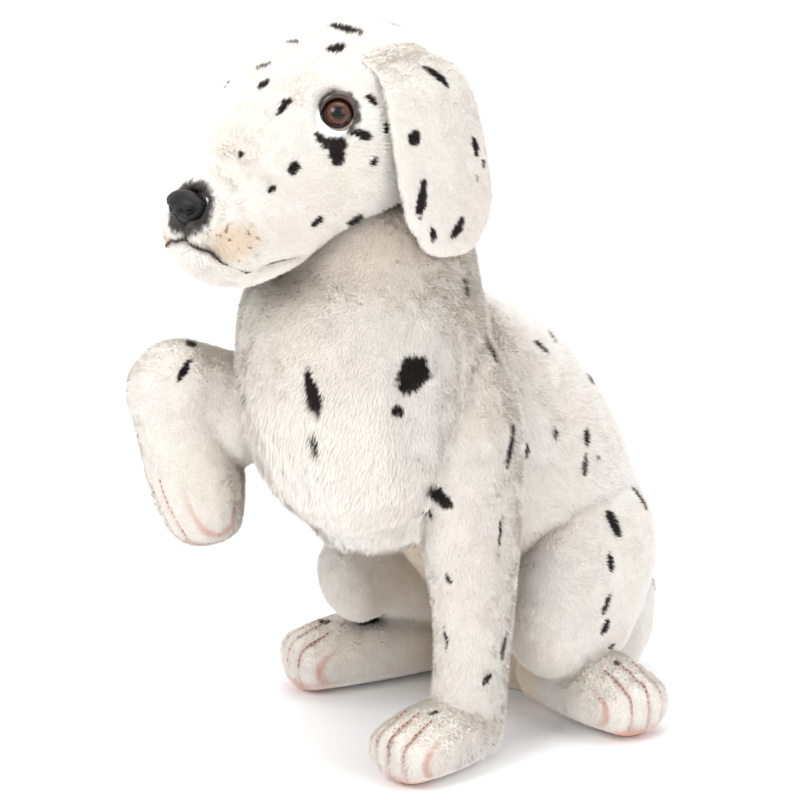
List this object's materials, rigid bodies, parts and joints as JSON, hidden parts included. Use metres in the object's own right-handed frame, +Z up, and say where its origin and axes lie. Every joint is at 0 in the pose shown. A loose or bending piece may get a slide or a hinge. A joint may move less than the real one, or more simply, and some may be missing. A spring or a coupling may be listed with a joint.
{
  "type": "plush dog",
  "caption": "Soft stuffed puppy toy with black spots, sitting up with its right forepaw raised; head, ears, raised leg and tail move.",
  "frame": {"origin": "centre of the round patch under the seat, on the floor that the dog sits on", "axes": "+Z up, the dog looks towards -Y with its head turned a little to its right, and its left side is +X"},
  "size_m": [0.2491, 0.3988, 0.4143],
  "materials": {
    "spotted_plush": "short pile plush, warm white with black spots",
    "seat_cloth": "short pile plush, warm white",
    "fibre_fill": "loose white polyester fibre",
    "pellet_cloth": "plain woven cotton",
    "inner_plastic": "moulded, matt",
    "steel": "plain steel",
    "fibreboard": "pressed fibreboard",
    "eye_gloss": "glossy, brown iris and black pupil",
    "eyelid_brown": "glossy, dark brown",
    "nose_black": "moulded, satin black"
  },
  "bodies": {
    "torso": {"chest_panel": "spotted_plush", "back_left_panel": "spotted_plush", "back_right_panel": "spotted_plush", "seat_patch": "seat_cloth", "body_stuffing": "fibre_fill", "pellet_bag": "pellet_cloth", "neck_socket": "inner_plastic", "shoulder_bolt": "steel", "shoulder_inner_disc": "fibreboard", "shoulder_nut": "steel", "left_foreleg_skin": "spotted_plush", "left_foreleg_stuffing": "fibre_fill", "left_foreleg_wire": "steel", "left_hindleg_skin": "spotted_plush", "left_hindleg_stuffing": "fibre_fill", "right_hindleg_skin": "spotted_plush", "right_hindleg_stuffing": "fibre_fill", "tail_peg": "inner_plastic"},
    "neck": {"neck_pin": "steel"},
    "head": {"head_post": "steel", "head_disc": "fibreboard", "head_gusset": "spotted_plush", "left_face_panel": "spotted_plush", "right_face_panel": "spotted_plush", "chin_panel": "spotted_plush", "head_stuffing": "fibre_fill", "left_eye": "eye_gloss", "right_eye": "eye_gloss", "left_eyelid": "eyelid_brown", "right_eyelid": "eyelid_brown", "left_eye_washer": "inner_plastic", "right_eye_washer": "inner_plastic", "nose": "nose_black", "nose_washer": "inner_plastic"},
    "left_ear": {"left_ear_outer": "spotted_plush", "left_ear_lining": "spotted_plush"},
    "right_ear": {"right_ear_outer": "spotted_plush", "right_ear_lining": "spotted_plush"},
    "right_foreleg": {"raised_upper_skin": "spotted_plush", "raised_upper_stuffing": "fibre_fill", "raised_upper_link": "inner_plastic", "shoulder_outer_disc": "fibreboard"},
    "right_forepaw": {"raised_lower_skin": "spotted_plush", "raised_lower_stuffing": "fibre_fill", "raised_lower_link": "inner_plastic"},
    "tail": {"tail_skin": "spotted_plush", "tail_stuffing": "fibre_fill"}
  },
  "joints": [
    {"name": "neck_turn", "type": "hinge", "parent": "torso", "child": "neck", "pos_m": [0, -0.174, 0.278], "axis": [0, 0, 1], "range_deg": [-30, 30]},
    {"name": "head_nod", "type": "hinge", "parent": "neck", "child": "head", "pos_m": [0, -0.174, 0.278], "axis": [0.9659, -0.2588, 0], "range_deg": [-15, 6]},
    {"name": "left_ear_lift", "type": "hinge", "parent": "head", "child": "left_ear", "pos_m": [0.02797, -0.1891, 0.4025], "axis": [-0.2556, -0.954, -0.1564], "range_deg": [0, 70]},
    {"name": "right_ear_lift", "type": "hinge", "parent": "head", "child": "right_ear", "pos_m": [-0.0407, -0.1707, 0.4025], "axis": [0.2556, 0.954, 0.1564], "range_deg": [0, 70]},
    {"name": "right_foreleg_swing", "type": "hinge", "parent": "torso", "child": "right_foreleg", "pos_m": [-0.07364, -0.20326, 0.194], "axis": [-0.9205, -0.3907, 0], "range_deg": [-40, 30]},
    {"name": "right_forepaw_bend", "type": "hinge", "parent": "right_foreleg", "child": "right_forepaw", "pos_m": [-0.09085, -0.22783, 0.207], "axis": [-0.8192, 0.5736, 0], "range_deg": [0, 50]},
    {"name": "tail_swing", "type": "hinge", "parent": "torso", "child": "tail", "pos_m": [0, 0.05712, 0.0195], "axis": [0, 0, 1], "range_deg": [-60, 0]}
  ]
}
